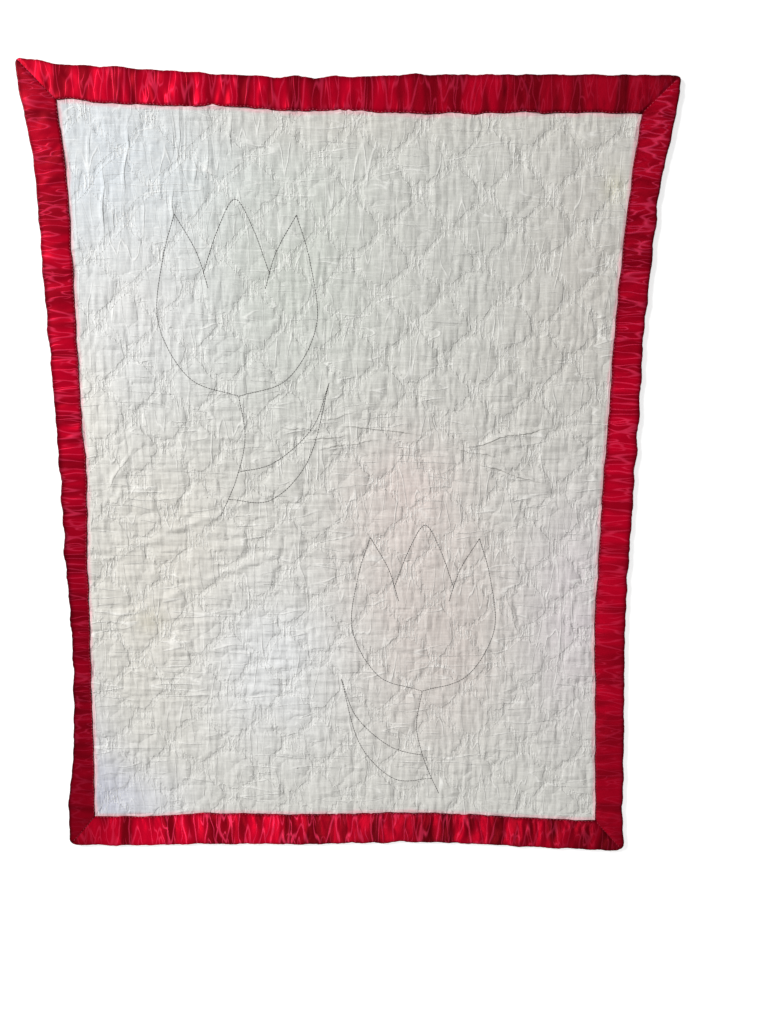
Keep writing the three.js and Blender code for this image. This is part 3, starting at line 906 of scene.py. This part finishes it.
# Folds of each side: spacing and rise in millimetres, the share of fine gathers at the seam, the
# length of satin drawn into each unit of seam, the share of painted dark bands of shade, how far the
# seam strays, the painted shade along the seam and the folded edge, and from its start to its end
# how lively the folds are, how strong their painted pale highlight lines and how light the satin is
# painted, standing in for the light and shade along it.
FOLDS = {
    "bottom": {
        "spacing": 11, "rise": 1.5, "fine": 0.4, "gather": 1.1, "bands": 1.0, "seed": 31,
        "stray": 1.0, "shade": (0.65, 0.35),
        "life": (0.4, 1, 1.15, 1.2, 1.35, 0.8),
        "lines": (0.4, 0.9, 0.95, 0.9, 0.65, 0.4),
        "painted_lightness": (0.95, 1.5, 1.1, 0.75, 0.9, 0.66),
    },
    "right": {
        "spacing": 12, "rise": 1.0, "fine": 0.3, "gather": 1.35, "bands": 0.5, "seed": 41,
        "stray": 0.9, "shade": (0.95, 0.8),
        "life": (0.45, 0.6, 0.8, 1.1, 1.2, 1.3),
        "lines": (0.3, 0.4, 0.55, 0.9, 1.25, 1.4),
        "painted_lightness": (0.68, 0.89, 1.2, 1.27, 0.75, 0.76),
    },
    "top": {
        "spacing": 14, "rise": 1.4, "fine": 0.3, "gather": 1.25, "bands": 0.85, "seed": 51,
        "stray": 1.4, "shade": (0.55, 0.46),
        "life": (0.95, 1.15, 1.55, 1.6, 1.1, 0.75),
        "lines": (0.38, 0.45, 0.58, 0.65, 0.6, 0.45),
        "painted_lightness": (0.54, 0.73, 0.97, 1.02, 1.24, 1.12),
    },
    "left": {
        "spacing": 12, "rise": 0.9, "fine": 0.3, "gather": 1.35, "bands": 0.6, "seed": 61,
        "stray": 1.0, "shade": (0.55, 0.85),
        "life": (0.9, 1, 1.1, 1.3, 1.3, 0.6),
        "lines": (0.8, 0.85, 0.95, 0.9, 0.75, 0.3),
        "painted_lightness": (0.66, 0.97, 1.12, 0.78, 0.62, 0.52),
    },
}


def along_side(table, share):
    """A table's value at each share of a side's length."""
    return np.interp(share, np.linspace(0, 1, len(table)), table)


def satin_folds(name, along, across, length):
    """Height of the gathers over the strip, as smooth folds that part and die out."""
    fold = FOLDS[name]
    seed = fold["seed"]
    spacing = fold["spacing"]
    life = along_side(fold["life"], along / length)
    uneven = 0.75 + 0.6 * noise(along / 45, across / 90, seed + 5)
    sway = along + 5 * noise(along / 50, across / 40, seed)
    broad = noise(sway / (2.2 * spacing), across / 110, seed + 2)
    middle = noise(sway / spacing, across / 42, seed + 3)
    fine = noise(sway / (0.55 * spacing), across / 24, seed + 4)
    seamward = np.clip((across - 14) / 36, 0, 1)
    rise = 0.9 * broad + uneven * middle + fold["fine"] * seamward * fine
    height = fold["rise"] * life * rise
    limit = np.where(height < 0, FOLD_DIP, FOLD_PEAK)
    return limit * np.tanh(height / limit)


def seam_wander(name, along):
    """How far the sewn edge of the satin strays over the cotton, in millimetres."""
    row = np.full_like(along, FOLDS[name]["seed"])
    slow = 2.0 * noise(along / 34, row, 71) + 0.6 * noise(along / 14, row, 75)
    return FOLDS[name]["stray"] * (slow + 0.35 * noise(along / 7, row, 72))


def edge_wander(name, along):
    """How far the folded edge of the satin strays from its line, in millimetres."""
    row = np.full_like(along, FOLDS[name]["seed"])
    return 2.8 * noise(along / 28, row, 74) + 0.6 * noise(along / 6, row, 73)


def satin_top(name, along, inset, width, length, share):
    """Height of the satin's upper face, held down by the seam and eased flat at the mitres."""
    upper = np.clip((width - inset) / (width - FOLD_REACH), 0, 1)
    mitre = np.clip(np.minimum(share, 1 - share) * length / MITRE_EASING, 0, 1)
    sewn = bell((width - inset) / SEAM_DIP_REACH)
    folds = satin_folds(name, along, inset, length)
    crown = STRIP_CROWN * np.sin(math.pi * upper) * (0.4 + 0.6 * mitre)
    gathered = (1 - 0.5 * upper**8) * mitre * folds * (1 - 0.4 * sewn)
    return SEAM_TOP + crown + gathered - SEAM_DIP * sewn - MITRE_DIP[name] * (1 - mitre)


def strip_lines(name, share):
    """A side's edge and seam in plan, its width, and its start, heading and length."""
    ends = side_line(name, "edge", np.array((0.0, 1.0)))
    length = np.hypot(*(ends[1] - ends[0]))
    edge = side_line(name, "edge", share)
    seam = side_line(name, "seam", share)
    return edge, seam, np.hypot(*(seam - edge).T), ends[0], (ends[1] - ends[0]) / length, length


def satin_strip(name):
    """One side's folded satin as a closed thin shell."""
    *_, length = strip_lines(name, np.array((0.0, 1.0)))
    bm = bmesh.new()
    bmesh.ops.create_grid(bm, x_segments=int(length / STATION_STEP), y_segments=STRIP_SECTIONS, size=0.5)
    flat = np.array([vert.co[:2] for vert in bm.verts]) + 0.5
    lap = MITRE_LAP[name] / length
    share = -lap + flat[:, 0] * (1 + 2 * lap)
    wrap = flat[:, 1]
    edge, seam, width, start, heading, length = strip_lines(name, share)
    upper = np.clip(wrap / UPPER_SHARE, 0, 1)
    nose = np.clip((wrap - UPPER_SHARE) / (NOSE_SHARE - UPPER_SHARE), 0, 1)
    under = np.clip((wrap - NOSE_SHARE) / (1 - NOSE_SHARE), 0, 1)
    angle = math.pi / 2 + math.pi * nose
    inset = FOLD_REACH * (1 + np.cos(angle))
    inset = np.where(wrap < UPPER_SHARE, width + (FOLD_REACH - width) * upper, inset)
    inset = np.where(wrap > NOSE_SHARE, FOLD_REACH + (UNDER_COVER * width - FOLD_REACH) * under, inset)
    along = (edge + (inset / width)[:, None] * (seam - edge) - start) @ heading
    # Over the fold the gathers fade out, and the underside lies flat.
    on_top = np.where(wrap < UPPER_SHARE, inset, FOLD_REACH)
    top = satin_top(name, along, on_top, width, length, share)
    round_fold = FOLD_MIDDLE + FOLD_HALF * np.sin(angle) + (top - SEAM_TOP) * (1 - nose) * (under == 0)
    height = np.maximum(np.where(upper < 1, top, round_fold), LOWEST_SATIN)
    by_edge = bell(inset / EDGE_STRAY_REACH)
    wander = (1 - upper) * seam_wander(name, along) + by_edge * edge_wander(name, along)
    at = edge + ((inset + wander) / width)[:, None] * (seam - edge)
    for vert, place in zip(bm.verts, np.column_stack((at, height)) * MM):
        vert.co = place
    fold = FOLDS[name]
    seam_shade, edge_shade = fold["shade"]
    by_seam = seam_shade * bell((width - inset) / SEAM_SHADE_REACH) * (under == 0)
    # The satin's painted marks: how strong its painted highlight lines are, its painted shade along the seam
    # and the folded edge, its painted lightness along the side, and its share of painted dark bands.
    guides = {
        "lined": along_side(fold["lines"], share),
        "held": np.maximum(by_seam, edge_shade * bell(inset / EDGE_SHADE_REACH)),
        "painted_lightness": along_side(fold["painted_lightness"], share),
        "banded": np.full(len(share), fold["bands"]),
    }
    for key, values in guides.items():
        layer = bm.verts.layers.float.new(key)
        for vert, value in zip(bm.verts, values):
            vert[layer] = value
    uv = bm.loops.layers.uv.new("cloth")
    lower = width + NOSE_GIRTH + under * UNDER_COVER * width
    girth = np.where(under > 0, lower, width - inset + NOSE_GIRTH * nose)
    cloth = np.column_stack((fold["gather"] * along, girth)) * MM
    for face in bm.faces:
        face.smooth = True
        for loop in face.loops:
            loop[uv].uv = cloth[loop.vert.index]
    bmesh.ops.recalc_face_normals(bm, faces=bm.faces)
    bmesh.ops.solidify(bm, geom=bm.faces[:], thickness=SATIN_THICKNESS * MM)
    mesh = bpy.data.meshes.new("binding_" + name)
    bm.to_mesh(mesh)
    bm.free()
    return mesh


# The satin's own red, the darker red of its painted shade in bands, the pink of its painted highlights, and
# the dark that paints shade along its edges.
SATIN_COLOUR = (186, 0, 36)
SATIN_SHADE = (112, 0, 16)
SATIN_HIGHLIGHT = (236, 54, 94)
SATIN_THREADS = 2 * math.pi / 0.0004
SATIN_EDGE_SHADE = (0.12, 0.1, 0.14, 1.0)
DARK_BANDS = (0.024, 0.15, 4.1)
STRAIGHT_LINES = (0.02, 0.13, 0.08, 1.7)
LOOPED_LINES = (0.011, 0.05, 0.11, 7.9)


def satin_material():
    """Red satin: smooth long floats shining in their own colour, with painted light and shade on gathers."""
    material, tree, satin = new_material("red satin", {"Metallic": 0.4, "Specular IOR Level": 0.03})
    cloth, weave = woven_cloth(tree, SATIN_THREADS, SATIN_THREADS / 6)
    # Gathers: painted shade in broad dark bands across the strip, and painted highlights in thin pale
    # lines that part and loop.
    swayed = swayed_place(cloth, 34.0, 0.0, (0.006, 0.004))
    # Painted shade: dark bands across the strip, as strong as each side's share.
    dark = between(stretched(swayed, *DARK_BANDS), 0.7, 0.3)
    dark = times(dark, attribute(tree, "banded"))
    patches = shade(tree, "TexNoise", {"Vector": cloth, "Scale": 20.0, "Detail": 0.0}).outputs["Fac"]
    looped = times(crests(swayed, *LOOPED_LINES), between(patches, 0.4, 0.56))
    lines = most(crests(swayed, *STRAIGHT_LINES), looped)
    lines = times(lines, attribute(tree, "lined"))
    red = blend("MIX", dark, (*linear(*SATIN_COLOUR), 1.0), (*linear(*SATIN_SHADE), 1.0))
    # Painted highlights: the thin pale lines mixed into the red.
    pale = blend("MIX", times(lines, 0.6), red, (*linear(*SATIN_HIGHLIGHT), 1.0))
    # Painted shade along the sewn edge and the folded edge.
    edge_shaded = blend("MULTIPLY", attribute(tree, "held"), pale, SATIN_EDGE_SHADE)
    # Painted light and shade: each side lighter or darker along its length.
    tree.links.new(blend("MULTIPLY", 1.0, edge_shaded, attribute(tree, "painted_lightness")), satin["Base Color"])
    tree.links.new(between(weave["Slub"], 0.0, 1.0, 0.37, 0.45), satin["Roughness"])
    gathered = shade(tree, "Bump", {"Height": lines, "Distance": 0.00016, "Strength": 1.0}).outputs["Normal"]
    floats = {"Height": weave["Height"], "Distance": 0.00001, "Strength": 0.3, "Normal": gathered}
    tree.links.new(shade(tree, "Bump", floats).outputs["Normal"], satin["Normal"])
    return material


satin = satin_material()
for name in SIDES:
    strip = add_piece("binding_strip_" + name, satin_strip(name), satin)
    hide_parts("binding_" + name)
    *_, length = strip_lines(name, np.array((0.0, 1.0)))

# Binding thread: one row of red machine stitches close to the satin's sewn edge on both
# faces, and hand stitches that close the four mitres.
EDGE_PITCH = 5.2
EDGE_SIZE = (3.2, 1.1, 0.8)
EDGE_MARGIN = 1.6
UNDER_STITCH_HEIGHT = 0.3
EDGE_STITCH_LIFT = 0.1
EDGE_COLOUR = (204, 70, 92)
ROW_SPAN = (0.004, 0.996)
ROW_POINTS = 3000
MITRE_PITCH = 5.0
MITRE_POINTS = 200
MITRE_SPAN = slice(8, -30)
MITRE_STITCH_DROP = 0.4
upper_rows, upper_heights, under_rows = [], [], []
share = np.linspace(*ROW_SPAN, ROW_POINTS)
for name in SIDES:
    edge, seam, width, start, heading, length = strip_lines(name, share)
    along = (seam - start) @ heading
    upper = width - EDGE_MARGIN + seam_wander(name, along)
    under = UNDER_COVER * width - EDGE_MARGIN
    for reach, rows in ((upper, upper_rows), (under, under_rows)):
        rows.append(stitch_row(edge + (reach / width)[:, None] * (seam - edge), EDGE_PITCH))
    placed = (upper_rows[-1][:, :2] - start) @ heading
    stop = np.interp(placed, along, share)
    width = np.interp(placed, along, width)
    upper_heights.append(satin_top(name, placed, width - EDGE_MARGIN, width, length, stop))
for corner in CORNERS.values():
    mitre = np.linspace(corner["seam"], corner["edge"], MITRE_POINTS)[MITRE_SPAN]
    upper_rows.append(stitch_row(mitre, MITRE_PITCH))
    upper_heights.append(np.full(len(upper_rows[-1]), SEAM_TOP - MITRE_STITCH_DROP))
upper_heights = np.concatenate(upper_heights) + SATIN_THICKNESS + EDGE_STITCH_LIFT
under_heights = np.full(len(np.vstack(under_rows)), UNDER_STITCH_HEIGHT)
red_thread = thread_material("red thread", EDGE_COLOUR)
for name, rows, heights in (
    ("binding_stitches", upper_rows, upper_heights),
    ("under_stitches", under_rows, under_heights),
):
    add_piece(name, stitch_mesh(name, rows, heights, EDGE_SIZE), red_thread)

# Floor and light: a plain pale floor that glows a little, so that no shade on it is deep, and
# a pale backdrop. The light comes from the upper left, as from a window, with weak fills from
# the left, the upper right and below.
FLOOR_HALF = 12
FLOOR_DROP = 0.0005
FLOOR_LOOK = {
    "Base Color": (0.7, 0.7, 0.7, 1),
    "Roughness": 0.9,
    "Emission Color": (1, 1, 1, 1),
    "Emission Strength": 0.5,
}
BACKDROP_GREY = (0.65, 0.65, 0.65, 1)
AMBIENT = 0.2
bm = bmesh.new()
bmesh.ops.create_grid(bm, x_segments=1, y_segments=1, size=FLOOR_HALF)
bmesh.ops.translate(bm, verts=bm.verts, vec=(0, 0, -FLOOR_DROP))
floor_mesh = bpy.data.meshes.new("floor")
bm.to_mesh(floor_mesh)
bm.free()
floor = bpy.data.objects.new("floor", floor_mesh)
scene.collection.objects.link(floor)
floor_paint, *_ = new_material("floor paint", FLOOR_LOOK)
floor_mesh.materials.append(floor_paint)

# Lamps: place in metres and power in watts. All are of one size and face the quilt's middle.
LAMP_SIZE = 0.8
LAMPS = {
    "key lamp": ((-3.3, 2.2, 2.1), 190),
    "left lamp": ((-3.0, 0.6, 1.6), 14),
    "upper right lamp": ((0.8, 1.2, 1.95), 6),
    "lower lamp": ((0.05, -1.25, 2.0), 16),
}
for name, (place, power) in LAMPS.items():
    light = bpy.data.lights.new(name, "AREA")
    light.size = LAMP_SIZE
    light.energy = power
    lamp = bpy.data.objects.new(name, light)
    scene.collection.objects.link(lamp)
    lamp.location = place
    lamp.rotation_euler = (-Vector(place)).to_track_quat("-Z", "Y").to_euler()
world = bpy.data.worlds.new("studio")
world.use_nodes = True
sky = world.node_tree
ambient = sky.nodes["Background"]
ambient.inputs["Color"].default_value = (1, 1, 1, 1)
ambient.inputs["Strength"].default_value = AMBIENT
backdrop = shade(sky, "Background", {"Color": BACKDROP_GREY, "Strength": 1.0}).outputs[0]
seen = shade(sky, "LightPath").outputs["Is Camera Ray"]
both = shade(sky, "MixShader", {0: seen, 1: ambient.outputs[0], 2: backdrop}).outputs[0]
sky.links.new(both, sky.nodes["World Output"].inputs["Surface"])
scene.world = world
scene.view_settings.view_transform = "Standard"
